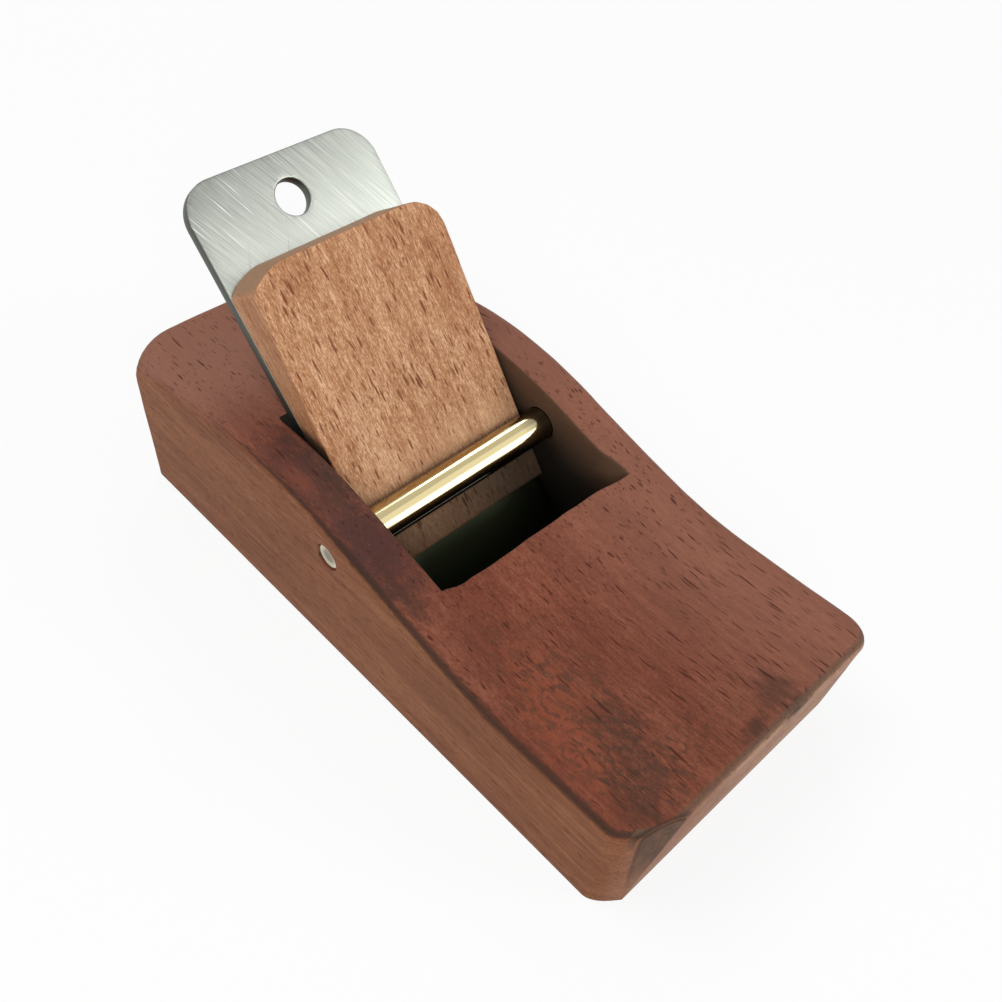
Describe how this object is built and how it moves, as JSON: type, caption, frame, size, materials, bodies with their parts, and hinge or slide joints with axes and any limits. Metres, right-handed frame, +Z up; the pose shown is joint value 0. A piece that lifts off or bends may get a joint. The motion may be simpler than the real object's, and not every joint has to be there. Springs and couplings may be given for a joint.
{
  "type": "small wooden hand plane",
  "caption": "Small wooden block plane: S-curved hardwood body with an open throat, steel blade on a sloping bed, tapered wooden wedge and round steel cross pin.",
  "frame": {"origin": "on the sole, under the middle of the body's length and width", "axes": "+X towards the toe, which is the low front end, +Z up from the sole, Y across the plane; the pin runs along Y and the blade rises towards the heel at 46 degrees"},
  "size_m": [0.1006, 0.045, 0.052],
  "materials": {
    "body_wood": "oiled reddish-brown open-pored hardwood, worn darker at the grip",
    "wedge_wood": "oiled lighter orange-tan hardwood with short dark pores",
    "blade_steel": "ground tool steel with fine slanting scratches",
    "pin_steel": "polished steel rod"
  },
  "bodies": {
    "plane": {"plane_body": "body_wood", "cross_pin": "pin_steel"},
    "iron": {"blade": "blade_steel"},
    "key": {"wedge": "wedge_wood"}
  },
  "joints": [
    {"name": "blade_slide", "type": "slide", "parent": "plane", "child": "iron", "axis": [-0.6947, 0, 0.7193], "range_m": [-0.001, 0.045]},
    {"name": "wedge_slide", "type": "slide", "parent": "plane", "child": "key", "axis": [-0.6947, 0, 0.7193], "range_m": [0, 0.045]}
  ]
}
